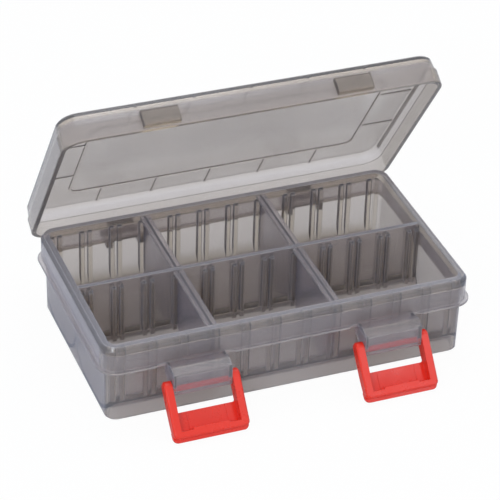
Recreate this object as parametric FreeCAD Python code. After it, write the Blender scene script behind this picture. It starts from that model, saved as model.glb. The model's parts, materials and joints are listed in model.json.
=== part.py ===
import FreeCAD, Part
import math
import os

# Lure box: a deep tray with two rows of compartments, a hinged lid,
# two swinging latches and lift-out dividers.
# Millimetres. X runs along the box, -Y is the latch side, +Z is up.
# The origin is on the tray's underside, under its middle.

V = FreeCAD.Vector
OUT = "parts"

# Driving dimensions

# Closed box, over the lid
closed_length = 205.0
closed_width = 120.7
lid_corner_radius = 11.5

# Tray
rim_height = 46.2
rim_chamfer_width = 1.5
rim_chamfer_height = 2.2
collar_thickness = 4.65
cavity_corner_radius = 4.0
body_wall = 2.0
body_lean = 0.35
foot_chamfer = 0.7
flange_bottom = 31.05
flange_thickness = 1.25
flange_inset = 1.0
flange_chamfer = 0.3
collar_skin = 1.3
rim_solid_height = 5.2
floor_top = 2.0
cove_radius = 16.0
middle_wall = 2.4
middle_wall_drop = 0.2

# Divider slots: pairs of ribs on every long wall
slot_pitch = 16.53
slot_end_room = 3.5
slot_gap = 1.9
rib_width = 2.25
rib_depth = 2.2
rib_taper = 0.45
rib_top_drop = 3.2
rib_chamfer = 0.4

# Dividers
divider_slots = (4, 8)
divider_thickness = 1.3
divider_side_gap = 0.3
divider_top_drop = 0.2
divider_cap_width = 5.6
divider_cap_thickness = 1.5
divider_cap_chamfer = 0.4

# Lid
lid_side_gap = 0.45
skirt_wall = 2.45
skirt_rest_gap = 0.39
skirt_chamfer = 0.3
skirt_height = 8.61
skirt_step_width = 0.5
lid_lean = 1.1
lid_plate_gap = 0.85
lid_plate_thickness = 1.9
lid_top_chamfer = 1.1
lid_shoulder_drop = 2.45
lid_inner_lean = 1.4
lid_rib_height = 0.6
lid_rib_width = 1.3
frame_inset_x = 21.3
frame_inset_y = 21.9
frame_corner_radius = 6.0
long_side_rib_pitch = 30.75
long_side_rib_count = 5
end_rib_positions = (-20.5, 16.5)

# Latches, their lugs on the tray and the catches on the lid
latch_spacing = 103.4
pivot_out = 5.95
pivot_drop = 9.05
pivot_bar_radius = 1.5
pivot_clearance = 0.08
latch_width = 40.0
latch_arm_width = 4.2
latch_depth = 6.6
latch_heel = 4.3
latch_end_wall_start = 21.8
latch_end_wall_end = 25.3
latch_length = 27.2
latch_window_end = 12.3
latch_plate_thickness = 1.3
latch_plate_bow = 1.9
latch_lip_thickness = 1.5
latch_hook_width = 19.2
latch_hook_start = 20.7
latch_hook_depth = 1.5
latch_panel_margin = 0.7
latch_panel_depth = 0.3
latch_edge_chamfer = 0.8
latch_corner_radius = 2.4
latch_tilt = 39.5
latch_side_gap = 0.3
lug_reach = 2.8
lug_wall = 1.1
lug_below_pivot = 2.2
lug_deck_step = 1.0
lug_lip_back = 1.8
lug_brow_drop = 0.15
lug_web = 1.6
lug_snap = 0.4
flange_notch_room = 0.8
flange_notch_depth = 1.2
catch_width = 19.4
catch_hook_gap = 0.1
catch_rise = 0.91
catch_top_gap = 0.5
catch_chamfer = 0.7

# Hinge
hinge_out = 4.37
hinge_drop = 0.65
hinge_barrel_radius = 2.3
hinge_pin_radius = 1.0
hinge_pin_fit = 0.02
hinge_pin_running = 0.07
hinge_knuckle_width = 14.0
hinge_ear_gap = 0.3
hinge_ear_width = 3.0
hinge_pin_proud = 0.4
lid_open_angle = 55.8

# Derived sizes

lid_half_x = closed_length / 2.0
lid_half_y = closed_width / 2.0
collar_half_x = lid_half_x - skirt_wall - lid_side_gap
collar_half_y = lid_half_y - skirt_wall - lid_side_gap
collar_radius = lid_corner_radius - skirt_wall - lid_side_gap
cavity_half_length = collar_half_x - collar_thickness
cavity_half_width = collar_half_y - collar_thickness
flange_top = flange_bottom + flange_thickness
collar_groove_top = rim_height - rim_solid_height
flange_half_x = lid_half_x - flange_inset
flange_half_y = lid_half_y - flange_inset
flange_radius = lid_corner_radius - flange_inset
foot_half_x = cavity_half_length + body_wall
foot_half_y = cavity_half_width + body_wall
body_radius = cavity_corner_radius + body_wall
slot_count = int(2.0 * (cavity_half_length - slot_end_room) / slot_pitch) + 1
first_slot = -slot_pitch * (slot_count - 1) / 2.0
rib_top = rim_height - rib_top_drop
divider_top = rim_height - divider_top_drop
skirt_bottom = flange_top + skirt_rest_gap
skirt_step_z = skirt_bottom + skirt_height
plate_inside = rim_height + lid_plate_gap
lid_top = plate_inside + lid_plate_thickness
lid_inner_shoulder = plate_inside - lid_shoulder_drop
latch_centres = (-latch_spacing / 2.0, latch_spacing / 2.0)
pivot_y = -lid_half_y - pivot_out
pivot_z = flange_bottom - pivot_drop
lug_width = latch_width - 2.0 * (latch_arm_width + latch_side_gap)
lug_front = pivot_y - lug_reach
lug_bottom = pivot_z - lug_below_pivot
lug_lip_y = pivot_y + lug_lip_back
lug_brow_z = flange_bottom - lug_brow_drop
lug_throat = 2.0 * pivot_bar_radius - lug_snap
flange_notch_width = latch_arm_width + flange_notch_room
catch_front = pivot_y + latch_depth / 2.0 - latch_hook_depth - catch_hook_gap
catch_bottom = skirt_bottom + catch_rise
catch_top = pivot_z + latch_hook_start - catch_top_gap
latch_panel_width = latch_hook_width + 2.0 * latch_panel_margin
hinge_y = lid_half_y + hinge_out
hinge_z = flange_top - hinge_drop
row_inner = middle_wall / 2.0


def rounded_wire(half_x, half_y, radius, z):
    """Closed rectangle with rounded corners, level at height z."""
    k = radius * (1.0 - math.sqrt(0.5))
    x0, y0 = half_x - radius, half_y - radius
    xk, yk = half_x - k, half_y - k
    edges = [
        Part.makeLine(V(-x0, -half_y, z), V(x0, -half_y, z)),
        Part.Arc(V(x0, -half_y, z), V(xk, -yk, z), V(half_x, -y0, z)).toShape(),
        Part.makeLine(V(half_x, -y0, z), V(half_x, y0, z)),
        Part.Arc(V(half_x, y0, z), V(xk, yk, z), V(x0, half_y, z)).toShape(),
        Part.makeLine(V(x0, half_y, z), V(-x0, half_y, z)),
        Part.Arc(V(-x0, half_y, z), V(-xk, yk, z), V(-half_x, y0, z)).toShape(),
        Part.makeLine(V(-half_x, y0, z), V(-half_x, -y0, z)),
        Part.Arc(V(-half_x, -y0, z), V(-xk, -yk, z), V(-x0, -half_y, z)).toShape(),
    ]
    return Part.Wire(edges)


def rounded_prism(half_x, half_y, radius, z0, z1):
    """Straight block with rounded vertical corners."""
    face = Part.Face(rounded_wire(half_x, half_y, radius, z0))
    return face.extrude(V(0, 0, z1 - z0))


def rounded_stack(levels):
    """Block through several rounded rectangles (half_x, half_y, radius, z)."""
    wires = [rounded_wire(*level) for level in levels]
    return Part.makeLoft(wires, True, True)


def along_x(points, x0, x1):
    """Side outline given as (y, z) points, pulled along X."""
    wire = Part.makePolygon([V(x0, y, z) for y, z in points] + [V(x0, *points[0])])
    return Part.Face(wire).extrude(V(x1 - x0, 0, 0))


def box(x0, x1, y0, y1, z0, z1):
    return Part.makeBox(x1 - x0, y1 - y0, z1 - z0, V(x0, y0, z0))


def rod(x0, x1, y, z, radius):
    """Round bar along X."""
    return Part.makeCylinder(radius, x1 - x0, V(x0, y, z), V(1, 0, 0))


def fillet_where(shape, radius, test):
    """Round every edge whose centre passes the test."""
    edges = [e for e in shape.Edges if test(e)]
    return shape.makeFillet(radius, edges)


def chamfer_where(shape, size, test):
    """Cut every edge whose centre passes the test."""
    edges = [e for e in shape.Edges if test(e)]
    return shape.makeChamfer(size, edges)


def fuse_all(first, others):
    return first.multiFuse(others).removeSplitter()


def row_section(gap, top):
    """Outline of one compartment row seen from its end, shrunk by gap."""
    y_in, y_out = row_inner + gap, cavity_half_width - gap
    r = cove_radius - gap
    centre_z = floor_top + cove_radius
    k = r * math.sqrt(0.5)
    ci, co = y_in + r, y_out - r
    edges = [
        Part.makeLine(V(0, y_in, top), V(0, y_in, centre_z)),
        Part.Arc(V(0, y_in, centre_z), V(0, ci - k, centre_z - k), V(0, ci, centre_z - r)).toShape(),
        Part.makeLine(V(0, ci, centre_z - r), V(0, co, centre_z - r)),
        Part.Arc(V(0, co, centre_z - r), V(0, co + k, centre_z - k), V(0, y_out, centre_z)).toShape(),
        Part.makeLine(V(0, y_out, centre_z), V(0, y_out, top)),
        Part.makeLine(V(0, y_out, top), V(0, y_in, top)),
    ]
    return Part.Face(Part.Wire(edges))


def channel_section(y_wall, y_centre, y_far):
    """Space under a cove, open below, between a wall and the cove's outside."""
    r = cove_radius + body_wall
    centre_z = floor_top + cove_radius
    z_far = centre_z - math.sqrt(r * r - (y_far - y_centre) ** 2)
    y_mid = (y_centre + y_far) / 2.0
    z_mid = centre_z - math.sqrt(r * r - (y_mid - y_centre) ** 2)
    arc = Part.Arc(V(0, y_centre, 0), V(0, y_mid, z_mid), V(0, y_far, z_far)).toShape()
    edges = [arc]
    if abs(y_far - y_wall) > 1e-6:
        edges.append(Part.makeLine(V(0, y_far, z_far), V(0, y_wall, z_far)))
    edges.append(Part.makeLine(V(0, y_wall, z_far), V(0, y_wall, 0)))
    edges.append(Part.makeLine(V(0, y_wall, 0), V(0, y_centre, 0)))
    return Part.Face(Part.Wire(edges))


def slot_x(number):
    return first_slot + slot_pitch * (number - 1)


def front_and_back(shape):
    """The shape and its mirror image across the middle of the box."""
    return [shape, shape.mirror(V(0, 0, 0), V(0, 1, 0))]


def tray_shell():
    """Outer block of the tray: tapered body, flange, collar and chamfered rim."""
    body = rounded_stack([
        (foot_half_x, foot_half_y, body_radius, 0.0),
        (foot_half_x + body_lean, foot_half_y + body_lean, body_radius + body_lean, flange_bottom + 0.5),
    ])
    body = chamfer_where(body, foot_chamfer, lambda e: e.BoundBox.ZMax < 0.01)
    flange = rounded_prism(flange_half_x, flange_half_y, flange_radius, flange_bottom, flange_top)
    flange = chamfer_where(flange, flange_chamfer, lambda e: e.BoundBox.ZLength < 0.01)
    chamfer_start = rim_height - rim_chamfer_height
    collar = rounded_prism(collar_half_x, collar_half_y, collar_radius, flange_bottom + 0.5, chamfer_start)
    rim = rounded_stack([
        (collar_half_x, collar_half_y, collar_radius, chamfer_start),
        (collar_half_x - rim_chamfer_width, collar_half_y - rim_chamfer_width,
         collar_radius - rim_chamfer_width, rim_height),
    ])
    return fuse_all(body, [flange, collar, rim])


def slot_ribs():
    """Rib pairs on the rear wall and on the rear face of the middle wall, for one row."""
    ribs = []
    for number in range(1, slot_count + 1):
        for side in (-1, 1):
            inner = slot_x(number) + side * slot_gap / 2.0
            outer = inner + side * rib_width
            for y0, y1, edge_y in (
                (row_inner - 0.6, row_inner + rib_depth, row_inner + rib_depth),
                (cavity_half_width - rib_depth, cavity_half_width + 0.6, cavity_half_width - rib_depth),
            ):
                outer_base = outer + side * rib_taper
                y_base = y0 if edge_y == y1 else y1
                corners = [(inner, y_base), (outer_base, y_base), (outer, edge_y), (inner, edge_y)]
                wire = Part.makePolygon([V(a, b, floor_top + 3.0) for a, b in corners + corners[:1]])
                rib = Part.Face(wire).extrude(V(0, 0, rib_top - floor_top - 3.0))
                ribs.append(chamfer_where(rib, rib_chamfer, lambda e: (
                    abs(e.CenterOfMass.y - edge_y) < 0.01 and e.CenterOfMass.z > rib_top - 0.01)))
    return ribs


def latch_lug(x):
    """Clear bracket on the front flange that the latch's bar snaps into."""
    x0, x1 = x - lug_width / 2.0, x + lug_width / 2.0
    deck = flange_top + lug_deck_step
    inner_front = lug_front + lug_wall
    root = -(cavity_half_width + body_wall + 0.5)
    cover = along_x([
        (root, flange_bottom), (root, flange_top),
        (-lid_half_y - 0.9, flange_top), (-lid_half_y - 1.4, deck),
        (lug_lip_y, deck), (lug_front + 0.6, lug_brow_z + 0.5), (lug_front, lug_brow_z - 0.3),
        (lug_front, lug_bottom), (inner_front, lug_bottom),
        (inner_front, lug_brow_z - 1.0), (lug_lip_y - 0.3, flange_bottom),
    ], x0, x1)
    webs = []
    for centre in (x0 + lug_web / 2.0, x1 - lug_web / 2.0):
        web = along_x([
            (root, flange_bottom + 0.5), (inner_front - 0.4, flange_bottom - 1.0),
            (inner_front - 0.4, lug_bottom + 0.3), (pivot_y + 3.0, lug_bottom + 0.3),
            (root, flange_bottom - 6.0),
        ], centre - lug_web / 2.0, centre + lug_web / 2.0)
        webs.append(web)
    lug = fuse_all(cover, webs)
    r = pivot_bar_radius + pivot_clearance
    bore = rod(x0 - 1.0, x1 + 1.0, pivot_y, pivot_z, r)
    throat = box(x0 - 1.0, x1 + 1.0, pivot_y - lug_throat / 2.0, pivot_y + lug_throat / 2.0,
                 lug_bottom - 1.0, pivot_z)
    throat = throat.cut(box(x0 - 1.0, x1 + 1.0, lug_front - 1.0, inner_front,
                            lug_bottom - 2.0, pivot_z))
    return lug.cut(bore).cut(throat)


def hinge_ears(x):
    """Two ears on the rear flange that hold the hinge pin."""
    ears = []
    root = cavity_half_width + body_wall + 0.5
    inner = hinge_knuckle_width / 2.0 + hinge_ear_gap
    for side in (-1, 1):
        a = x + side * inner
        b = x + side * (inner + hinge_ear_width)
        x0, x1 = min(a, b), max(a, b)
        arm = along_x([
            (root, flange_top), (hinge_y - 1.2, flange_top), (hinge_y, hinge_z),
            (hinge_y, hinge_z - hinge_barrel_radius), (hinge_y - 1.0, hinge_z - hinge_barrel_radius),
            (root, flange_bottom - 3.0),
        ], x0, x1)
        barrel = rod(x0, x1, hinge_y, hinge_z, hinge_barrel_radius)
        ear = fuse_all(arm, [barrel])
        ears.append(ear.cut(rod(x0 - 1, x1 + 1, hinge_y, hinge_z, hinge_pin_radius + hinge_pin_fit)))
    return ears


def make_tray():
    tray = tray_shell()

    # Flange cut back beside each lug, where the latch arms pass
    for x in latch_centres:
        for side in (-1, 1):
            a = x + side * lug_width / 2.0
            b = a + side * flange_notch_width
            tray = tray.cut(box(min(a, b), max(a, b), -flange_half_y - 1.0,
                                -flange_half_y + flange_notch_depth,
                                flange_bottom - 1.0, flange_top + 1.0))

    # Two rows with coved floors, corners rounded by the common block
    corner_block = rounded_prism(cavity_half_length, cavity_half_width,
                                 cavity_corner_radius, -1.0, rim_height + 2.0)
    row = row_section(0.0, rim_height + 1.0).extrude(V(2.0 * cavity_half_length, 0, 0))
    row.translate(V(-cavity_half_length, 0, 0))
    row = row.common(corner_block)
    for cavity in front_and_back(row):
        tray = tray.cut(cavity)

    # Top of the middle wall sits just under the rim
    tray = tray.cut(box(-cavity_half_length, cavity_half_length, -row_inner - 0.2, row_inner + 0.2,
                        rim_height - middle_wall_drop, rim_height + 1.0))

    ribs = []
    for rib in slot_ribs():
        ribs += front_and_back(rib)
    tray = fuse_all(tray, ribs)

    # Channels under the coves, open below
    outer_centre = cavity_half_width - cove_radius
    inner_centre = row_inner + cove_radius
    outer_channel = channel_section(cavity_half_width, outer_centre, cavity_half_width)
    inner_channel = channel_section(0.0, inner_centre, 0.35)
    length = 2.0 * cavity_half_length
    for section in (outer_channel, inner_channel):
        channel = section.extrude(V(length, 0, 0))
        channel.translate(V(-cavity_half_length, 0, 0))
        channel = channel.common(corner_block)
        for each in front_and_back(channel):
            tray = tray.cut(each)

    # Narrow groove inside the collar, open below, so that no wall is thick
    groove = rounded_prism(collar_half_x - collar_skin, collar_half_y - collar_skin,
                           collar_radius - collar_skin, flange_bottom - 1.0, collar_groove_top)
    groove = groove.cut(rounded_prism(foot_half_x + body_lean, foot_half_y + body_lean,
                                      body_radius + body_lean, 0.0, rim_height))
    tray = tray.cut(groove)

    lugs = [latch_lug(x) for x in latch_centres]
    ears = []
    for x in latch_centres:
        ears += hinge_ears(x)
    # Lugs and ears stop at the outside of the wall
    inside = rounded_prism(cavity_half_length, cavity_half_width, cavity_corner_radius, 0.0, rim_height)
    tray = fuse_all(tray, [piece.cut(inside) for piece in lugs + ears])
    return tray


def make_divider(number, side):
    """T-shaped plate whose foot follows the row's floor; side is 1 for the rear row."""
    x = slot_x(number)
    plate = row_section(divider_side_gap, divider_top)
    plate = plate.extrude(V(divider_thickness, 0, 0))
    plate.translate(V(x - divider_thickness / 2.0, 0, 0))
    cap = box(x - divider_cap_width / 2.0, x + divider_cap_width / 2.0,
              row_inner + divider_side_gap, cavity_half_width - divider_side_gap,
              divider_top - divider_cap_thickness, divider_top)
    cap = chamfer_where(cap, divider_cap_chamfer, lambda e: (
        e.CenterOfMass.z > divider_top - 0.01 or e.BoundBox.ZLength > 1.0))
    divider = fuse_all(plate, [cap])
    if side < 0:
        divider = divider.mirror(V(0, 0, 0), V(0, 1, 0))
    return divider


def make_lid():
    upper_x = lid_half_x - skirt_step_width
    upper_y = lid_half_y - skirt_step_width
    upper_r = lid_corner_radius - skirt_step_width
    skirt = rounded_prism(lid_half_x, lid_half_y, lid_corner_radius, skirt_bottom, skirt_step_z)
    skirt = chamfer_where(skirt, skirt_chamfer, lambda e: e.BoundBox.ZLength < 0.01)
    upper = rounded_stack([
        (upper_x, upper_y, upper_r, skirt_step_z - 1.0),
        (upper_x - lid_lean, upper_y - lid_lean, upper_r - lid_lean, lid_top),
    ])
    upper = chamfer_where(upper, lid_top_chamfer, lambda e: e.BoundBox.ZMin > lid_top - 0.01)
    lid = fuse_all(skirt, [upper])

    # Inside: straight skirt, then a leaning shoulder up to the plate
    in_x, in_y = lid_half_x - skirt_wall, lid_half_y - skirt_wall
    in_r = lid_corner_radius - skirt_wall
    lower = rounded_prism(in_x, in_y, in_r, skirt_bottom - 1.0, lid_inner_shoulder)
    shoulder = rounded_stack([
        (in_x, in_y, in_r, lid_inner_shoulder),
        (in_x - lid_inner_lean, in_y - lid_inner_lean, in_r - lid_inner_lean, plate_inside),
    ])
    lid = lid.cut(fuse_all(lower, [shoulder]))

    # Frame and short ribs under the plate, which hold the dividers down
    frame_x = lid_half_x - frame_inset_x
    frame_y = lid_half_y - frame_inset_y
    z0, z1 = plate_inside - lid_rib_height, plate_inside + 0.3
    frame = rounded_prism(frame_x, frame_y, frame_corner_radius, z0, z1)
    frame = frame.cut(rounded_prism(frame_x - lid_rib_width, frame_y - lid_rib_width,
                                    frame_corner_radius - lid_rib_width, z0 - 1.0, z1 + 1.0))
    ribs = [frame]
    half = lid_rib_width / 2.0
    end_y = in_y - lid_inner_lean + 0.6
    end_x = in_x - lid_inner_lean + 0.6
    for i in range(long_side_rib_count):
        x = (i - (long_side_rib_count - 1) / 2.0) * long_side_rib_pitch
        rib = box(x - half, x + half, frame_y - half, end_y, z0, z1)
        ribs += front_and_back(rib)
    for y in end_rib_positions:
        ribs.append(box(-end_x, -frame_x + half, y - half, y + half, z0, z1))
        ribs.append(box(frame_x - half, end_x, y - half, y + half, z0, z1))
    lid = fuse_all(lid, ribs)

    # Catch blocks that the latches hook over
    parts = []
    for x in latch_centres:
        block = box(x - catch_width / 2.0, x + catch_width / 2.0,
                    catch_front, -lid_half_y + skirt_wall / 2.0, catch_bottom, catch_top)
        block = chamfer_where(block, catch_chamfer, lambda e: (
            abs(e.CenterOfMass.y - catch_front) < 0.01))
        parts.append(block)

    # Hinge knuckles behind the rear skirt
    for x in latch_centres:
        x0, x1 = x - hinge_knuckle_width / 2.0, x + hinge_knuckle_width / 2.0
        barrel = rod(x0, x1, hinge_y, hinge_z, hinge_barrel_radius)
        arm = along_x([
            (lid_half_y - 1.2, skirt_bottom), (hinge_y - hinge_barrel_radius + 0.3, skirt_bottom),
            (hinge_y, hinge_z),
            (hinge_y, hinge_z + hinge_barrel_radius),
            (lid_half_y - 0.2, hinge_z + hinge_barrel_radius + 3.0),
            (lid_half_y - 1.2, hinge_z + hinge_barrel_radius + 3.0),
        ], x0, x1)
        knuckle = fuse_all(barrel, [arm])
        parts.append(knuckle)
    lid = fuse_all(lid, parts)
    for x in latch_centres:
        lid = lid.cut(rod(x - hinge_knuckle_width, x + hinge_knuckle_width, hinge_y, hinge_z,
                          hinge_pin_radius + hinge_pin_running))
    return lid


def make_hinge_pin(x):
    half = hinge_knuckle_width / 2.0 + hinge_ear_gap + hinge_ear_width + hinge_pin_proud
    return rod(x - half, x + half, hinge_y, hinge_z, hinge_pin_radius)


def latch_outline():
    """Side outline of the latch, pivot at the origin and closed, as an X-normal face.

    Z runs from the pivot to the free end and +Y faces the box.
    The outer face bows inward towards the free end by latch_plate_bow."""
    front = latch_depth / 2.0
    back = -latch_depth / 2.0
    tip_back = back + latch_plate_bow
    bow_start = latch_window_end - 2.0
    bow_mid = (bow_start + latch_length) / 2.0
    mid_back = back + latch_plate_bow * 0.27
    tip_front = tip_back + latch_lip_thickness
    heel_z = -latch_heel + front
    edges = [
        Part.Arc(V(0, front, heel_z), V(0, 0, -latch_heel), V(0, -front, heel_z)).toShape(),
        Part.makeLine(V(0, -front, heel_z), V(0, -front, bow_start)),
        Part.Arc(V(0, -front, bow_start), V(0, mid_back, bow_mid), V(0, tip_back, latch_length)).toShape(),
        Part.makeLine(V(0, tip_back, latch_length), V(0, tip_front, latch_length)),
        Part.makeLine(V(0, tip_front, latch_length), V(0, tip_front, latch_end_wall_end)),
        Part.makeLine(V(0, tip_front, latch_end_wall_end), V(0, front, latch_end_wall_end)),
        Part.makeLine(V(0, front, latch_end_wall_end), V(0, front, heel_z)),
    ]
    return Part.Face(Part.Wire(edges))


def rounded_end(half, end, radius):
    """Block with two rounded corners at its far end, to trim the latch with."""
    block = box(-half, half, -latch_depth, latch_depth, -latch_heel - 1.0, end)
    return fillet_where(block, radius, lambda e: (
        abs(abs(e.CenterOfMass.x) - half) < 0.01 and abs(e.CenterOfMass.z - end) < 0.01
        and e.BoundBox.YLength > 1.0))


def make_latch(x):
    """Frame of two arms, a bowed cover plate and a hooked end wall, with a pivot bar."""
    half = latch_width / 2.0
    inner = half - latch_arm_width
    front = latch_depth / 2.0
    body = latch_outline().extrude(V(latch_width, 0, 0))
    body.translate(V(-half, 0, 0))
    frame = body.common(rounded_end(half, latch_end_wall_end, latch_corner_radius))
    frame = chamfer_where(frame, latch_edge_chamfer, lambda e: (
        abs(abs(e.CenterOfMass.x) - half) < 0.01 or (
            abs(e.CenterOfMass.y - front) < 0.01 and e.CenterOfMass.z > latch_end_wall_start)))
    lip_front = -front + latch_plate_bow + latch_lip_thickness
    lip = body.common(rounded_end(half, latch_length, latch_corner_radius + 0.4))
    lip = lip.common(box(-half, half, -latch_depth, lip_front, latch_end_wall_start, latch_length))
    body = fuse_all(frame, [lip])

    # Window between the arms, then the pocket behind the cover plate
    window = box(-inner, inner, -latch_depth, latch_depth, -latch_heel - 1.0, latch_window_end)
    window = fillet_where(window, 1.0, lambda e: (
        abs(e.CenterOfMass.z - latch_window_end) < 0.01 and abs(abs(e.CenterOfMass.x) - inner) < 0.01))
    plate_y = -latch_depth / 2.0 + latch_plate_thickness
    bow_start = latch_window_end - 2.0
    bow_mid = (bow_start + latch_length) / 2.0
    pocket_edges = [
        Part.Arc(V(-inner, plate_y, bow_start),
                 V(-inner, plate_y + latch_plate_bow * 0.27, bow_mid),
                 V(-inner, plate_y + latch_plate_bow, latch_length)).toShape(),
        Part.makeLine(V(-inner, plate_y + latch_plate_bow, latch_length), V(-inner, front + 1, latch_length)),
        Part.makeLine(V(-inner, front + 1, latch_length), V(-inner, front + 1, bow_start)),
        Part.makeLine(V(-inner, front + 1, bow_start), V(-inner, plate_y, bow_start)),
    ]
    pocket = Part.Face(Part.Wire(pocket_edges)).extrude(V(2.0 * inner, 0, 0))
    pocket = pocket.common(box(-inner, inner, -latch_depth, latch_depth * 2,
                               bow_start, latch_end_wall_start))
    body = body.cut(window).cut(pocket)

    # Shallow panel in the cover plate, where the mould's core under the hook drew out
    panel = pocket.common(box(-latch_panel_width / 2.0, latch_panel_width / 2.0,
                              -latch_depth, front, bow_start, latch_end_wall_start))
    panel.translate(V(0, -latch_panel_depth, 0))
    body = body.cut(panel)

    bar = rod(-inner - 0.5, inner + 0.5, 0, 0, pivot_bar_radius)
    hook = box(-latch_hook_width / 2.0, latch_hook_width / 2.0, front - latch_hook_depth, front,
               latch_hook_start, latch_end_wall_start + 0.5)
    hook = fillet_where(hook, 0.3, lambda e: (
        abs(e.CenterOfMass.z - latch_hook_start) < 0.01))
    latch = fuse_all(body, [bar, hook])
    latch.rotate(V(0, 0, 0), V(1, 0, 0), 180.0 - latch_tilt)
    latch.translate(V(x, pivot_y, pivot_z))
    return latch


def opened(shape, degrees):
    """The lid's shape turned open about the hinge axis."""
    shape.rotate(V(0, hinge_y, hinge_z), V(1, 0, 0), -degrees)
    return shape


nodes = {
    "tray": make_tray(),
    "lid": opened(make_lid(), lid_open_angle),
    "latch_left": make_latch(latch_centres[0]),
    "latch_right": make_latch(latch_centres[1]),
    "hinge_pin_left": make_hinge_pin(latch_centres[0]),
    "hinge_pin_right": make_hinge_pin(latch_centres[1]),
    "divider_rear_left": make_divider(divider_slots[0], 1),
    "divider_rear_right": make_divider(divider_slots[1], 1),
    "divider_front_left": make_divider(divider_slots[0], -1),
    "divider_front_right": make_divider(divider_slots[1], -1),
}

os.makedirs(OUT, exist_ok=True)
for name, shape in nodes.items():
    solid = shape.Solids[0] if len(shape.Solids) == 1 else shape
    solid.exportStep(os.path.join(OUT, name + ".step"))
    print(name, "solids", len(shape.Solids), "valid", shape.isValid(),
          "volume", round(shape.Volume, 1))
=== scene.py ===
import json
import math

import bmesh
import bpy
from bpy.props import FloatProperty, FloatVectorProperty, PointerProperty
from bpy.types import Operator, Panel, PropertyGroup
from mathutils import Matrix, Vector

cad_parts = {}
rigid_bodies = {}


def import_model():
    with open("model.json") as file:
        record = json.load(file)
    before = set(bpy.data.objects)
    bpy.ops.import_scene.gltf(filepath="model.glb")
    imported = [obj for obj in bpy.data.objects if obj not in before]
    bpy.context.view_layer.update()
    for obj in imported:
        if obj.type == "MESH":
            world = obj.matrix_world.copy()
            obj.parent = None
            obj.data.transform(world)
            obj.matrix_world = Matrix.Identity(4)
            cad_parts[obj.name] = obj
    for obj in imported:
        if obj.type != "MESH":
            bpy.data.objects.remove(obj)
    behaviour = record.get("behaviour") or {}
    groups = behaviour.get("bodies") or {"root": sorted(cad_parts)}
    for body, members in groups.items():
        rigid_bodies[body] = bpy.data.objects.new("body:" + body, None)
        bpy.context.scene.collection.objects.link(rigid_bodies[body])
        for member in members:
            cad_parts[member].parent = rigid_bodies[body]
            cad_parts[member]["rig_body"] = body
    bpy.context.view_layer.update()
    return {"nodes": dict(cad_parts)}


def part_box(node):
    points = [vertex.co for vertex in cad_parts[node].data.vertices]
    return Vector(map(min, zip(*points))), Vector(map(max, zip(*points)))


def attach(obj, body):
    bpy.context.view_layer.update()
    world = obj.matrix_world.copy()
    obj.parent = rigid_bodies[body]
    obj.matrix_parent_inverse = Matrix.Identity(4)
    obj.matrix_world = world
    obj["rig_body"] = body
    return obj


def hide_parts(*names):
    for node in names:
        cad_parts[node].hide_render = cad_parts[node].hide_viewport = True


bl_info = {
    "name": "Lure box looks",
    "version": (1, 0, 0),
    "blender": (4, 5, 0),
    "location": "View3D > Sidebar > Lure box",
    "description": "Finishes, studio and camera for a lure box with two rows, a hinged lid and two latches",
    "category": "3D View",
}

# The frame is loaded first, so every piece below takes its place from it.
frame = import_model()


def linear(hex_colour):
    """sRGB hex such as "5a5860" to linear red, green, blue and full alpha."""
    channels = []
    for start in (0, 2, 4):
        s = int(hex_colour[start:start + 2], 16) / 255.0
        channels.append(s / 12.92 if s <= 0.04045 else ((s + 0.055) / 1.055) ** 2.4)
    return (*channels, 1.0)


# Sizes, colours and studio values that a user would change

class LureBoxPlastic(PropertyGroup):
    smoke_tint: FloatVectorProperty(
        name="Smoke tint", description="Colour that light keeps after a long way through the clear plastic",
        subtype="COLOR", size=4, min=0.0, max=1.0, default=linear("e0d9c8"))
    smoke_density: FloatProperty(
        name="Smoke density", description="How strongly the clear plastic absorbs, per metre of wall",
        default=400.0, min=0.0)
    surface_tint: FloatVectorProperty(
        name="Surface tint", description="Cool haze that the moulded surface scatters back",
        subtype="COLOR", size=4, min=0.0, max=1.0, default=linear("f4f1f7"))
    haze: FloatProperty(
        name="Haze", description="Share of light that the surface scatters",
        default=0.088, min=0.0, max=1.0)
    # The sheen lobe is real, but its blue tint is a painted reflection of cool surroundings
    bloom: FloatProperty(
        name="Bloom", description="Sheen at a slant, with a painted cool reflection tint", default=0.18,
        min=0.0, max=1.0)
    lid_bloom: FloatProperty(
        name="Lid bloom", description="Sheen of the thinner lid, with a painted cool reflection tint", default=0.05, min=0.0, max=1.0)
    # Haze raised along every edge is a painted highlight: the edge lines turn pale where lamps would glint
    edge_highlight: FloatProperty(
        name="Edge highlight", description="Haze added along edges as a painted highlight",
        default=0.38, min=0.0, max=1.0)
    # Haze raised on the rim tops that face up is a painted highlight: the tops look lighter as they face
    # the lamps
    rim_highlight: FloatProperty(
        name="Rim highlight", description="Haze added on top of the rims as a painted highlight",
        default=0.15, min=0.0, max=1.0)
    clear_polish: FloatProperty(
        name="Clear polish", description="Least roughness of the tray, the lid and the dividers",
        default=0.18, min=0.0, max=1.0)
    clear_scuff: FloatProperty(
        name="Clear scuff", description="Greatest roughness of the tray, the lid and the dividers",
        default=0.26, min=0.0, max=1.0)
    rod_polish: FloatProperty(
        name="Rod polish", description="Least roughness of the hinge rods",
        default=0.12, min=0.0, max=1.0)
    rod_scuff: FloatProperty(
        name="Rod scuff", description="Greatest roughness of the hinge rods",
        default=0.2, min=0.0, max=1.0)
    latch_polish: FloatProperty(
        name="Latch polish", description="Least roughness of the latches",
        default=0.24, min=0.0, max=1.0)
    latch_scuff: FloatProperty(
        name="Latch scuff", description="Greatest roughness of the latches",
        default=0.34, min=0.0, max=1.0)
    latch_red: FloatVectorProperty(
        name="Latch colour", description="Colour moulded into the latches",
        subtype="COLOR", size=4, min=0.0, max=1.0, default=linear("e72912"))


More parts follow.
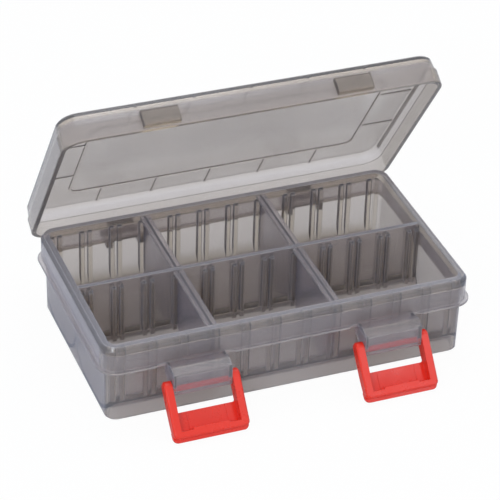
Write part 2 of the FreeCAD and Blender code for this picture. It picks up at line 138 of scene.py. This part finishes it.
class LureBoxSizes(PropertyGroup):
    latch_edge: FloatProperty(
        name="Latch edge", description="Rounding of the latches' edges",
        default=0.00045, min=0.0, unit="LENGTH", subtype="DISTANCE")
    box_edge: FloatProperty(
        name="Box edge", description="Rounding of the clear mouldings' edges",
        default=0.0005, min=0.0, unit="LENGTH", subtype="DISTANCE")
    divider_thickness: FloatProperty(
        name="Divider thickness", description="Thickness of the divider's plate",
        default=0.0013, min=0.0, unit="LENGTH", subtype="DISTANCE")
    divider_width: FloatProperty(
        name="Divider width", description="Width of the divider across its row",
        default=0.051, min=0.0, unit="LENGTH", subtype="DISTANCE")
    divider_corner: FloatProperty(
        name="Divider corner radius", description="Radius of the plate's two lower corners",
        default=0.0157, min=0.0, unit="LENGTH", subtype="DISTANCE")
    divider_foot: FloatProperty(
        name="Divider foot", description="Height of the divider's lower edge over the table",
        default=0.0023, min=0.0, unit="LENGTH", subtype="DISTANCE")
    divider_top: FloatProperty(
        name="Divider top", description="Height of the cap's upper face over the table",
        default=0.046, min=0.0, unit="LENGTH", subtype="DISTANCE")
    cap_width: FloatProperty(
        name="Cap width", description="Width of the cap along the row",
        default=0.0056, min=0.0, unit="LENGTH", subtype="DISTANCE")
    cap_thickness: FloatProperty(
        name="Cap thickness", description="Height of the cap from its lower to its upper face",
        default=0.0015, min=0.0, unit="LENGTH", subtype="DISTANCE")
    cap_chamfer: FloatProperty(
        name="Cap chamfer", description="Bevel round the cap's upper face and on its upright corners",
        default=0.0004, min=0.0, unit="LENGTH", subtype="DISTANCE")
    rod_radius: FloatProperty(
        name="Rod radius", description="Radius of a hinge rod",
        default=0.001, min=0.0, unit="LENGTH", subtype="DISTANCE")
    rod_length: FloatProperty(
        name="Rod length", description="Length of a hinge rod",
        default=0.0214, min=0.0, unit="LENGTH", subtype="DISTANCE")


class LureBoxStudio(PropertyGroup):
    light_colour: FloatVectorProperty(
        name="Light colour", description="Colour of the lamps and of the world's light",
        subtype="COLOR", size=4, min=0.0, max=1.0, default=linear("f3f8ff"))
    world_strength: FloatProperty(
        name="World strength", description="Strength of the world's light on the object",
        default=0.636, min=0.0)
    floor_size: FloatProperty(
        name="Floor size", description="Side of the studio floor",
        default=6.0, min=1.0, unit="LENGTH", subtype="DISTANCE")
    floor_drop: FloatProperty(
        name="Floor drop", description="How far the floor lies under the box's lowest face",
        default=0.0006, min=0.0, unit="LENGTH", subtype="DISTANCE")
    floor_seen: FloatProperty(
        name="Floor seen", description="Share of plain white in the floor that the camera sees",
        default=0.96, min=0.0, max=1.0)
    floor_through: FloatProperty(
        name="Floor through", description="Share of plain white in the floor seen through clear plastic",
        default=0.21, min=0.0, max=1.0)
    lens: FloatProperty(
        name="Lens", description="Focal length of the camera, in millimetres", default=175.39, min=10.0)
    camera_place: FloatVectorProperty(
        name="Camera place", description="Where the camera stands, from the frame's origin",
        size=3, unit="LENGTH", subtype="XYZ", default=(-0.39308, -0.97454, 0.75784))
    camera_azimuth: FloatProperty(
        name="Camera azimuth", description="Turn of the camera round the box from straight in front",
        subtype="ANGLE", default=math.radians(-21.9))
    camera_height: FloatProperty(
        name="Camera height", description="Angle at which the camera looks down",
        subtype="ANGLE", default=math.radians(34.02))
    camera_roll: FloatProperty(
        name="Camera roll", description="Turn of the camera about its line of sight",
        subtype="ANGLE", default=math.radians(1.95))


# Node and mesh helpers

def add_node(tree, kind, settings=None, inputs=None, links=None):
    """Adds one node. settings are its properties, inputs its socket values,
    and links name an input and the socket that feeds it."""
    node = tree.nodes.new(kind)
    for name, value in (settings or {}).items():
        setattr(node, name, value)
    for name, value in (inputs or {}).items():
        node.inputs[name].default_value = value
    for name, socket in (links or {}).items():
        tree.links.new(socket, node.inputs[name])
    return node


def new_material(name):
    """An empty node material and its tree."""
    material = bpy.data.materials.new(name)
    material.use_nodes = True
    material.node_tree.nodes.clear()
    return material, material.node_tree


def moulded_surface(tree, edge, ripple_size, ripple_height, scuff_size, scuff_height):
    """Rounded edges, slow ripple left by the mould's polish and fine scuffs from handling.
    Sizes are metres. Returns the texture coordinates, the rounding node and the bumped normal."""
    place = add_node(tree, "ShaderNodeTexCoord")
    soft = add_node(tree, "ShaderNodeBevel", {"samples": 4}, {"Radius": edge})
    ripple = add_node(tree, "ShaderNodeTexNoise", inputs={
        "Scale": 1.0 / ripple_size, "Detail": 1.0, "Roughness": 0.4,
    }, links={"Vector": place.outputs["Object"]})
    # Scuffs are stretched about eight times along X; the turn only brings in other noise
    drawn = add_node(tree, "ShaderNodeMapping", inputs={
        "Scale": (0.12, 1.0, 1.0), "Rotation": (0.0, 0.3, 0.5),
    }, links={"Vector": place.outputs["Object"]})
    scuffs = add_node(tree, "ShaderNodeTexNoise", inputs={
        "Scale": 1.0 / scuff_size, "Detail": 3.0, "Roughness": 0.6,
    }, links={"Vector": drawn.outputs["Vector"]})
    first = add_node(tree, "ShaderNodeBump", inputs={
        "Strength": 1.0, "Distance": ripple_height,
    }, links={"Height": ripple.outputs["Fac"], "Normal": soft.outputs["Normal"]})
    second = add_node(tree, "ShaderNodeBump", inputs={
        "Strength": 1.0, "Distance": scuff_height,
    }, links={"Height": scuffs.outputs["Fac"], "Normal": first.outputs["Normal"]})
    return place, soft, second.outputs["Normal"]


def highlighted_transmission(tree, place, soft, edge_highlight, rim_highlight):
    """Transmission of the clear plastic, which is 1 less its haze. The haze is slight everywhere
    and stronger on edges, where the rounded normal leaves the flat one, as a painted highlight.
    The rims' painted highlight adds to it on faces that look up and lie within 1.2 mm of the tray's top."""
    values = bpy.context.scene.lure_box_plastic
    # Cosine between the rounded and the flat normal: no painted edge highlight above the first, the full
    # painted highlight below the second
    unhighlighted_turn, full_highlight_turn = 0.99, 0.85
    # Heights between which the rims' painted highlight rises to its full value
    tray_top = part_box("tray")[1].z
    rim_start, rim_full = tray_top - 0.0012, tray_top - 0.0008
    # Upward share of the flat normal: none of the rims' painted highlight below the first, all above the
    # second
    too_steep, level = 0.4, 0.9
    shape = add_node(tree, "ShaderNodeNewGeometry")
    turn = add_node(tree, "ShaderNodeVectorMath", {"operation": "DOT_PRODUCT"},
                    links={0: soft.outputs["Normal"], 1: shape.outputs["True Normal"]})
    edges = add_node(tree, "ShaderNodeMapRange", inputs={
        "From Min": unhighlighted_turn, "From Max": full_highlight_turn,
        "To Min": values.haze, "To Max": values.haze + edge_highlight,
    }, links={"Value": turn.outputs["Value"]})
    height = add_node(tree, "ShaderNodeSeparateXYZ", links={"Vector": place.outputs["Object"]})
    above = add_node(tree, "ShaderNodeMapRange", inputs={
        "From Min": rim_start, "From Max": rim_full, "To Min": 0.0, "To Max": rim_highlight,
    }, links={"Value": height.outputs["Z"]})
    upward = add_node(tree, "ShaderNodeSeparateXYZ", links={"Vector": shape.outputs["True Normal"]})
    flat = add_node(tree, "ShaderNodeMapRange", inputs={
        "From Min": too_steep, "From Max": level,
    }, links={"Value": upward.outputs["Z"]})
    rims = add_node(tree, "ShaderNodeMath", {"operation": "MULTIPLY"},
                    links={0: above.outputs["Result"], 1: flat.outputs["Result"]})
    total = add_node(tree, "ShaderNodeMath", {"operation": "ADD"},
                     links={0: edges.outputs["Result"], 1: rims.outputs["Value"]})
    clear = add_node(tree, "ShaderNodeMath", {"operation": "SUBTRACT"}, {0: 1.0},
                     {1: total.outputs["Value"]})
    return clear.outputs["Value"]


def patchy_roughness(tree, place, low, high, patch_size):
    """Roughness that wanders between low and high in patches, as handling leaves it."""
    patches = add_node(tree, "ShaderNodeTexNoise", inputs={
        "Scale": 1.0 / patch_size, "Detail": 4.0, "Roughness": 0.65,
    }, links={"Vector": place.outputs["Object"]})
    spread = add_node(tree, "ShaderNodeMapRange", inputs={
        "From Min": 0.3, "From Max": 0.7, "To Min": low, "To Max": high,
    }, links={"Value": patches.outputs["Fac"]})
    return spread.outputs["Result"]


def smoke_polystyrene(name, bloom, polish, scuff, edge_highlight=0.0, rim_highlight=0.0):
    """Clear smoke polystyrene, injection moulded: light passes and darkens with the
    length of wall it crosses, and the polished surface shines with a faint cool haze.
    The sheen's blue tint is a painted cool reflection, and the haze on edges and rim tops a painted
    highlight."""
    values = bpy.context.scene.lure_box_plastic
    sizes = bpy.context.scene.lure_box_sizes
    material, tree = new_material(name)
    # Mould polish ripples are about 9 mm apart; scuffs are drawn 0.6 mm wide so that they show
    place, soft, normal = moulded_surface(
        tree, sizes.box_edge, ripple_size=0.009, ripple_height=0.000004,
        scuff_size=0.0006, scuff_height=0.000002)
    # Handling dulls it in patches about 25 mm across
    roughness = patchy_roughness(tree, place, polish, scuff, patch_size=0.025)
    body = add_node(tree, "ShaderNodeBsdfPrincipled", inputs={
        "Base Color": values.surface_tint, "IOR": 1.49,
        # Sheen at a slant; its blue tint is a painted cool reflection
        "Sheen Weight": bloom, "Sheen Roughness": 0.6, "Sheen Tint": linear("b8c4ff"),
    }, links={
        "Roughness": roughness, "Normal": normal,
        "Transmission Weight": highlighted_transmission(tree, place, soft, edge_highlight, rim_highlight),
    })
    smoke = add_node(tree, "ShaderNodeVolumeAbsorption", inputs={
        "Color": values.smoke_tint, "Density": values.smoke_density,
    })
    add_node(tree, "ShaderNodeOutputMaterial", links={
        "Surface": body.outputs["BSDF"], "Volume": smoke.outputs["Volume"],
    })
    return material


def red_polypropylene(name):
    """Opaque red polypropylene, injection moulded: saturated colour, soft gloss,
    a little light spreading under thin edges."""
    values = bpy.context.scene.lure_box_plastic
    sizes = bpy.context.scene.lure_box_sizes
    material, tree = new_material(name)
    # Ripples are about 6 mm apart; scuffs come from fingernails and are drawn 0.4 mm wide
    place, soft, normal = moulded_surface(
        tree, sizes.latch_edge, ripple_size=0.006, ripple_height=0.00002,
        scuff_size=0.0004, scuff_height=0.000004)
    # Fingers polish it in patches about 12 mm across
    roughness = patchy_roughness(tree, place, values.latch_polish, values.latch_scuff, patch_size=0.012)
    body = add_node(tree, "ShaderNodeBsdfPrincipled", inputs={
        "Base Color": values.latch_red, "IOR": 1.49, "Subsurface Weight": 0.1,
        "Subsurface Scale": 0.002, "Subsurface Radius": (1.0, 0.25, 0.15),
    }, links={
        "Roughness": roughness, "Normal": normal,
    })
    add_node(tree, "ShaderNodeOutputMaterial", links={"Surface": body.outputs["BSDF"]})
    return material


def smooth_corners(mesh, limit=math.radians(20.0)):
    """Corner normals: the mean, weighted by area, of the faces round each corner that turn
    less than the limit from its own face. Flat faces stay flat and curved ones look round."""
    around = [[] for _ in mesh.vertices]
    for face in mesh.polygons:
        for index in face.vertices:
            around[index].append(face)
    least = math.cos(limit)
    normals = []
    for face in mesh.polygons:
        for index in face.vertices:
            near = [other for other in around[index] if other.normal.dot(face.normal) > least]
            total = sum((other.normal * other.area for other in near), Vector())
            normals.append(total.normalized() if total.length > 0.0 else face.normal.copy())
    mesh.shade_smooth()
    mesh.normals_split_custom_set(normals)


def finished_copy(node, name, material):
    """A merged copy of a CAD node with smooth curved faces, standing for that node."""
    # Corners within a thousandth of a millimetre of each other are one corner
    same_corner = 1e-6
    mesh = frame["nodes"][node].data.copy()
    mesh.name = name
    work = bmesh.new()
    work.from_mesh(mesh)
    bmesh.ops.remove_doubles(work, verts=work.verts, dist=same_corner)
    work.to_mesh(mesh)
    work.free()
    mesh.materials.clear()
    mesh.materials.append(material)
    smooth_corners(mesh)
    return stand_in(node, name, mesh)


def node_centre(node):
    """Middle of a CAD node's box."""
    low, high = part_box(node)
    return (low + high) / 2.0


def stand_in(node, name, mesh):
    """An object at the origin that rides with a CAD node's body and takes the node's place."""
    piece = bpy.data.objects.new(name, mesh)
    bpy.context.scene.collection.objects.link(piece)
    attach(piece, frame["nodes"][node]["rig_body"])
    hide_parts(node)
    return piece


# Node trees for the repeated pieces

def sized_tree(name, sizes):
    """An empty geometry tree with one length input for each size and a place for the piece."""
    tree = bpy.data.node_groups.new(name, "GeometryNodeTree")
    for size in sizes:
        tree.interface.new_socket(size, in_out="INPUT", socket_type="NodeSocketFloat")
    tree.interface.new_socket("Place", in_out="INPUT", socket_type="NodeSocketVector")
    tree.interface.new_socket("Geometry", in_out="OUTPUT", socket_type="NodeSocketGeometry")
    return tree, add_node(tree, "NodeGroupInput").outputs


def close_tree(tree, shape, place, material):
    """Moves the shape to its place, makes it real and gives it its material."""
    moved = add_node(tree, "GeometryNodeTransform", links={"Geometry": shape, "Translation": place})
    real = add_node(tree, "GeometryNodeRealizeInstances", links={"Geometry": moved.outputs["Geometry"]})
    painted = add_node(tree, "GeometryNodeSetMaterial", inputs={"Material": material},
                       links={"Geometry": real.outputs["Geometry"]})
    add_node(tree, "NodeGroupOutput", links={"Geometry": painted.outputs["Geometry"]})


def divider_tree(material):
    """A divider with its lower edge's round corners and a chamfered cap. The plate is the hull
    of two discs and a box, and the cap the hull of three boxes."""
    tree, size = sized_tree("Divider plate", (
        "Thickness", "Width", "Corner radius", "Foot", "Top", "Cap width", "Cap thickness", "Cap chamfer"))
    lift = add_node(tree, "ShaderNodeMath", {"operation": "ADD"},
                    links={0: size["Foot"], 1: size["Corner radius"]})
    half = add_node(tree, "ShaderNodeMath", {"operation": "MULTIPLY"}, {1: 0.5}, {0: size["Width"]})
    reach = add_node(tree, "ShaderNodeMath", {"operation": "SUBTRACT"},
                     links={0: half.outputs[0], 1: size["Corner radius"]})
    back = add_node(tree, "ShaderNodeMath", {"operation": "MULTIPLY"}, {1: -1.0}, {0: reach.outputs[0]})
    disc_sides = 96
    disc = add_node(tree, "GeometryNodeMeshCylinder", inputs={"Vertices": disc_sides},
                    links={"Radius": size["Corner radius"], "Depth": size["Thickness"]})
    plate_parts = add_node(tree, "GeometryNodeJoinGeometry")
    for side in (reach, back):
        spot = add_node(tree, "ShaderNodeCombineXYZ", links={"Y": side.outputs[0], "Z": lift.outputs[0]})
        turned = add_node(tree, "GeometryNodeTransform", inputs={"Rotation": (0.0, math.pi / 2.0, 0.0)},
                          links={"Geometry": disc.outputs["Mesh"], "Translation": spot.outputs[0]})
        tree.links.new(turned.outputs["Geometry"], plate_parts.inputs["Geometry"])
    # The plate ends halfway up the cap, inside it
    half_cap = add_node(tree, "ShaderNodeMath", {"operation": "MULTIPLY"}, {1: 0.5},
                        {0: size["Cap thickness"]})
    plate_top = add_node(tree, "ShaderNodeMath", {"operation": "SUBTRACT"},
                         links={0: size["Top"], 1: half_cap.outputs[0]})
    rise = add_node(tree, "ShaderNodeMath", {"operation": "SUBTRACT"},
                    links={0: plate_top.outputs[0], 1: lift.outputs[0]})
    middle = add_node(tree, "ShaderNodeMath", {"operation": "MULTIPLY_ADD"}, {1: 0.5},
                      {0: rise.outputs[0], 2: lift.outputs[0]})
    upper_size = add_node(tree, "ShaderNodeCombineXYZ", links={
        "X": size["Thickness"], "Y": size["Width"], "Z": rise.outputs[0]})
    upper_spot = add_node(tree, "ShaderNodeCombineXYZ", links={"Z": middle.outputs[0]})
    upper = add_node(tree, "GeometryNodeMeshCube", links={"Size": upper_size.outputs[0]})
    raised = add_node(tree, "GeometryNodeTransform", links={
        "Geometry": upper.outputs["Mesh"], "Translation": upper_spot.outputs[0]})
    tree.links.new(raised.outputs["Geometry"], plate_parts.inputs["Geometry"])
    plate = add_node(tree, "GeometryNodeConvexHull", links={"Geometry": plate_parts.outputs["Geometry"]})

    # Each of the cap's three boxes is narrower by the chamfers in two of its directions
    cut = add_node(tree, "ShaderNodeMath", {"operation": "MULTIPLY"}, {1: 2.0}, {0: size["Cap chamfer"]})
    narrow = add_node(tree, "ShaderNodeMath", {"operation": "SUBTRACT"},
                      links={0: size["Cap width"], 1: cut.outputs[0]})
    short = add_node(tree, "ShaderNodeMath", {"operation": "SUBTRACT"},
                     links={0: size["Width"], 1: cut.outputs[0]})
    low = add_node(tree, "ShaderNodeMath", {"operation": "SUBTRACT"},
                   links={0: size["Cap thickness"], 1: size["Cap chamfer"]})
    cap_foot = add_node(tree, "ShaderNodeMath", {"operation": "SUBTRACT"},
                        links={0: size["Top"], 1: size["Cap thickness"]})
    cap_parts = add_node(tree, "GeometryNodeJoinGeometry")
    for wide, long, tall in (
        (size["Cap width"], short.outputs[0], low.outputs[0]),
        (narrow.outputs[0], size["Width"], low.outputs[0]),
        (narrow.outputs[0], short.outputs[0], size["Cap thickness"]),
    ):
        box_size = add_node(tree, "ShaderNodeCombineXYZ", links={"X": wide, "Y": long, "Z": tall})
        centre = add_node(tree, "ShaderNodeMath", {"operation": "MULTIPLY_ADD"}, {1: 0.5},
                          {0: tall, 2: cap_foot.outputs[0]})
        spot = add_node(tree, "ShaderNodeCombineXYZ", links={"Z": centre.outputs[0]})
        box = add_node(tree, "GeometryNodeMeshCube", links={"Size": box_size.outputs[0]})
        set_up = add_node(tree, "GeometryNodeTransform", links={
            "Geometry": box.outputs["Mesh"], "Translation": spot.outputs[0]})
        tree.links.new(set_up.outputs["Geometry"], cap_parts.inputs["Geometry"])
    cap = add_node(tree, "GeometryNodeConvexHull", links={"Geometry": cap_parts.outputs["Geometry"]})

    whole = add_node(tree, "GeometryNodeMeshBoolean", {"operation": "UNION", "solver": "EXACT"})
    for part in (plate, cap):
        tree.links.new(part.outputs["Convex Hull"], whole.inputs["Mesh 2"])
    close_tree(tree, whole.outputs["Mesh"], size["Place"], material)
    return tree


def rod_tree(material):
    """A round rod along X."""
    tree, size = sized_tree("Rod", ("Radius", "Length"))
    half = add_node(tree, "ShaderNodeMath", {"operation": "MULTIPLY"}, {1: 0.5}, {0: size["Length"]})
    back = add_node(tree, "ShaderNodeMath", {"operation": "MULTIPLY"}, {1: -0.5}, {0: size["Length"]})
    start = add_node(tree, "ShaderNodeCombineXYZ", links={"X": back.outputs[0]})
    end = add_node(tree, "ShaderNodeCombineXYZ", links={"X": half.outputs[0]})
    axis = add_node(tree, "GeometryNodeCurvePrimitiveLine", links={
        "Start": start.outputs[0], "End": end.outputs[0]})
    ring_sides = 48
    ring = add_node(tree, "GeometryNodeCurvePrimitiveCircle", inputs={"Resolution": ring_sides},
                    links={"Radius": size["Radius"]})
    rod = add_node(tree, "GeometryNodeCurveToMesh", inputs={"Fill Caps": True}, links={
        "Curve": axis.outputs["Curve"], "Profile Curve": ring.outputs["Curve"]})
    close_tree(tree, rod.outputs["Mesh"], size["Place"], material)
    return tree


def grown_piece(node, name, tree, inputs):
    """Runs a tree with its inputs and turns the result into a plain piece in a node's place."""
    holder = bpy.data.objects.new("growing", bpy.data.meshes.new("growing"))
    bpy.context.scene.collection.objects.link(holder)
    modifier = holder.modifiers.new(tree.name, "NODES")
    modifier.node_group = tree
    for socket in tree.interface.items_tree:
        if socket.in_out == "INPUT":
            modifier[socket.identifier] = inputs[socket.name]
    graph = bpy.context.evaluated_depsgraph_get()
    mesh = bpy.data.meshes.new_from_object(holder.evaluated_get(graph), depsgraph=graph)
    mesh.name = name
    bpy.data.objects.remove(holder)
    if not mesh.polygons:
        raise RuntimeError("the tree " + tree.name + " made no faces for " + name)
    smooth_corners(mesh)
    return stand_in(node, name, mesh)


# Operators, one for each piece or group of like pieces and one for the stage

class LUREBOX_OT_tray(Operator):
    """Finish the tray in clear smoke plastic"""
    bl_idname = "lure_box.tray"
    bl_label = "Tray"

    def execute(self, context):
        values = context.scene.lure_box_plastic
        material = smoke_polystyrene("Smoke polystyrene tray", values.bloom, values.clear_polish,
                                     values.clear_scuff, values.edge_highlight, values.rim_highlight)
        piece = finished_copy("tray", "tray_moulding", material)
        return {"FINISHED"}


class LUREBOX_OT_lid(Operator):
    """Finish the lid in clear smoke plastic"""
    bl_idname = "lure_box.lid"
    bl_label = "Lid"

    def execute(self, context):
        values = context.scene.lure_box_plastic
        material = smoke_polystyrene("Smoke polystyrene lid", values.lid_bloom, values.clear_polish,
                                     values.clear_scuff)
        piece = finished_copy("lid", "lid_moulding", material)
        return {"FINISHED"}


class LUREBOX_OT_dividers(Operator):
    """Grow the four lift-out dividers from their node tree, in clear smoke plastic"""
    bl_idname = "lure_box.dividers"
    bl_label = "Dividers"

    def execute(self, context):
        values = context.scene.lure_box_plastic
        material = smoke_polystyrene("Smoke polystyrene divider", values.bloom, values.clear_polish,
                                     values.clear_scuff, values.edge_highlight)
        sizes = context.scene.lure_box_sizes
        tree = divider_tree(material)
        for row in ("rear", "front"):
            for side in ("left", "right"):
                node = "divider_" + row + "_" + side
                centre = node_centre(node)
                piece = grown_piece(node, node + "_plate", tree, {
                    "Thickness": sizes.divider_thickness, "Width": sizes.divider_width,
                    "Corner radius": sizes.divider_corner, "Foot": sizes.divider_foot,
                    "Top": sizes.divider_top, "Cap width": sizes.cap_width,
                    "Cap thickness": sizes.cap_thickness, "Cap chamfer": sizes.cap_chamfer,
                    "Place": (centre.x, centre.y, 0.0),
                })
        return {"FINISHED"}


class LUREBOX_OT_latches(Operator):
    """Finish the two latches in red plastic"""
    bl_idname = "lure_box.latches"
    bl_label = "Latches"

    def execute(self, context):
        material = red_polypropylene("Red polypropylene")
        for side in ("left", "right"):
            node = "latch_" + side
            piece = finished_copy(node, node + "_moulding", material)
        return {"FINISHED"}


class LUREBOX_OT_hinge_pins(Operator):
    """Grow the two hinge rods from their node tree, in clear smoke plastic"""
    bl_idname = "lure_box.hinge_pins"
    bl_label = "Hinge pins"

    def execute(self, context):
        values = context.scene.lure_box_plastic
        material = smoke_polystyrene("Smoke polystyrene rod", values.bloom, values.rod_polish,
                                     values.rod_scuff, values.edge_highlight)
        sizes = context.scene.lure_box_sizes
        tree = rod_tree(material)
        for side in ("left", "right"):
            node = "hinge_pin_" + side
            piece = grown_piece(node, node + "_rod", tree, {
                "Radius": sizes.rod_radius, "Length": sizes.rod_length, "Place": node_centre(node),
            })
        return {"FINISHED"}


class LUREBOX_OT_stage(Operator):
    """Set up the floor, lights, world and camera"""
    bl_idname = "lure_box.stage"
    bl_label = "Stage"

    def execute(self, context):
        scene = context.scene
        scene.view_settings.view_transform = "Standard"
        # Light crosses up to five clear walls before it reaches the floor or the world
        scene.cycles.max_bounces = 24
        scene.cycles.transmission_bounces = 24
        self.make_world(scene)
        self.make_floor(scene)
        self.make_lights(scene)
        self.make_camera(scene)
        return {"FINISHED"}

    def seen_share(self, tree, direct, through, mirrored):
        """direct for rays from the camera, through for rays that crossed clear plastic,
        mirrored for rays off gloss, 0 for all others."""
        rays = add_node(tree, "ShaderNodeLightPath")
        total = None
        for kind, share in (("Is Camera Ray", direct), ("Is Transmission Ray", through),
                            ("Is Glossy Ray", mirrored)):
            part = add_node(tree, "ShaderNodeMath", {"operation": "MULTIPLY"}, {1: share},
                            {0: rays.outputs[kind]})
            if total is None:
                total = part
            else:
                total = add_node(tree, "ShaderNodeMath", {"operation": "MAXIMUM"},
                                 links={0: total.outputs["Value"], 1: part.outputs["Value"]})
        return total.outputs["Value"]

    def make_world(self, scene):
        world = bpy.data.worlds.new("Studio world")
        scene.world = world
        world.use_nodes = True
        tree = world.node_tree
        tree.nodes.clear()
        studio = scene.lure_box_studio
        light = add_node(tree, "ShaderNodeBackground", inputs={
            "Color": studio.light_colour, "Strength": studio.world_strength})
        shown = add_node(tree, "ShaderNodeBackground", inputs={"Color": linear("ffffff"), "Strength": 1.0})
        share = self.seen_share(tree, direct=1.0, through=1.0, mirrored=1.0)
        mix = add_node(tree, "ShaderNodeMixShader", links={"Fac": share})
        tree.links.new(light.outputs["Background"], mix.inputs[1])
        tree.links.new(shown.outputs["Background"], mix.inputs[2])
        add_node(tree, "ShaderNodeOutputWorld", links={"Surface": mix.outputs["Shader"]})

    def make_floor(self, scene):
        studio = scene.lure_box_studio
        half = studio.floor_size / 2.0
        mesh = bpy.data.meshes.new("studio_floor")
        corners = [(-half, -half, 0), (half, -half, 0), (half, half, 0), (-half, half, 0)]
        mesh.from_pydata(corners, [], [(0, 1, 2, 3)])
        material, tree = new_material("Studio paper")
        lit = add_node(tree, "ShaderNodeBsdfDiffuse", inputs={"Color": linear("f2f2f2")})
        white = add_node(tree, "ShaderNodeEmission", inputs={"Color": linear("ffffff"), "Strength": 1.0})
        share = self.seen_share(tree, studio.floor_seen, studio.floor_through, mirrored=0.0)
        mix = add_node(tree, "ShaderNodeMixShader", links={"Fac": share})
        tree.links.new(lit.outputs["BSDF"], mix.inputs[1])
        tree.links.new(white.outputs["Emission"], mix.inputs[2])
        add_node(tree, "ShaderNodeOutputMaterial", links={"Surface": mix.outputs["Shader"]})
        mesh.materials.append(material)
        floor = bpy.data.objects.new("studio_floor", mesh)
        floor.location.z = -studio.floor_drop
        scene.collection.objects.link(floor)

    def make_lights(self, scene):
        middle = Vector((0.0, 0.0, 0.04))
        # Name, place, side and power of each lamp; the glint is mirrored by the right latch's panel
        for name, place, size, energy in (
            ("Key softbox", (-0.95, -1.15, 1.04), 0.4, 7.0),
            ("Fill softbox", (-1.3, -0.7, 0.9), 0.9, 1.8),
            ("Top softbox", (0.1, 0.4, 1.8), 1.1, 9.4),
            ("Glint softbox", (0.66, -1.16, 1.05), 0.2, 1.2),
        ):
            lamp = bpy.data.lights.new(name, "AREA")
            lamp.size = size
            lamp.energy = energy
            lamp.color = scene.lure_box_studio.light_colour[:3]
            holder = bpy.data.objects.new(name, lamp)
            holder.location = place
            aim = middle - Vector(place)
            holder.rotation_mode = "QUATERNION"
            holder.rotation_quaternion = aim.to_track_quat("-Z", "Y")
            scene.collection.objects.link(holder)

    def make_camera(self, scene):
        camera = bpy.data.cameras.new("Photograph view")
        studio = scene.lure_box_studio
        camera.lens = studio.lens
        camera.sensor_width = 36.0
        camera.clip_start = 0.01
        camera.clip_end = 20.0
        holder = bpy.data.objects.new("Photograph view", camera)
        azimuth, height, roll = studio.camera_azimuth, studio.camera_height, studio.camera_roll
        back = Vector((math.sin(azimuth) * math.cos(height), -math.cos(azimuth) * math.cos(height),
                       math.sin(height)))
        right = (-back).cross(Vector((0.0, 0.0, 1.0))).normalized()
        up = right.cross(-back)
        right_r = math.cos(roll) * right + math.sin(roll) * up
        up_r = -math.sin(roll) * right + math.cos(roll) * up
        turn = Matrix((right_r, up_r, back)).transposed()
        holder.matrix_world = Matrix.Translation(studio.camera_place) @ turn.to_4x4()
        scene.collection.objects.link(holder)
        scene.camera = holder


class LUREBOX_PT_pieces(Panel):
    """Lists the operators and the values they use"""
    bl_label = "Lure box"
    bl_idname = "LUREBOX_PT_pieces"
    bl_space_type = "VIEW_3D"
    bl_region_type = "UI"
    bl_category = "Lure box"

    def draw(self, context):
        layout = self.layout
        for operator in OPERATORS:
            layout.operator(operator.bl_idname)
        scene = context.scene
        for group in (scene.lure_box_plastic, scene.lure_box_sizes, scene.lure_box_studio):
            for name in group.__annotations__:
                layout.prop(group, name)


OPERATORS = (
    LUREBOX_OT_tray,
    LUREBOX_OT_lid,
    LUREBOX_OT_dividers,
    LUREBOX_OT_latches,
    LUREBOX_OT_hinge_pins,
    LUREBOX_OT_stage,
)
CLASSES = (LureBoxPlastic, LureBoxSizes, LureBoxStudio, *OPERATORS, LUREBOX_PT_pieces)


def register():
    for each in CLASSES:
        bpy.utils.register_class(each)
    bpy.types.Scene.lure_box_plastic = PointerProperty(type=LureBoxPlastic)
    bpy.types.Scene.lure_box_sizes = PointerProperty(type=LureBoxSizes)
    bpy.types.Scene.lure_box_studio = PointerProperty(type=LureBoxStudio)


def unregister():
    del bpy.types.Scene.lure_box_studio
    del bpy.types.Scene.lure_box_sizes
    del bpy.types.Scene.lure_box_plastic
    for each in reversed(CLASSES):
        bpy.utils.unregister_class(each)


def main():
    register()
    bpy.ops.lure_box.tray()
    bpy.ops.lure_box.lid()
    bpy.ops.lure_box.dividers()
    bpy.ops.lure_box.latches()
    bpy.ops.lure_box.hinge_pins()
    bpy.ops.lure_box.stage()


if __name__ == "__main__":
    main()
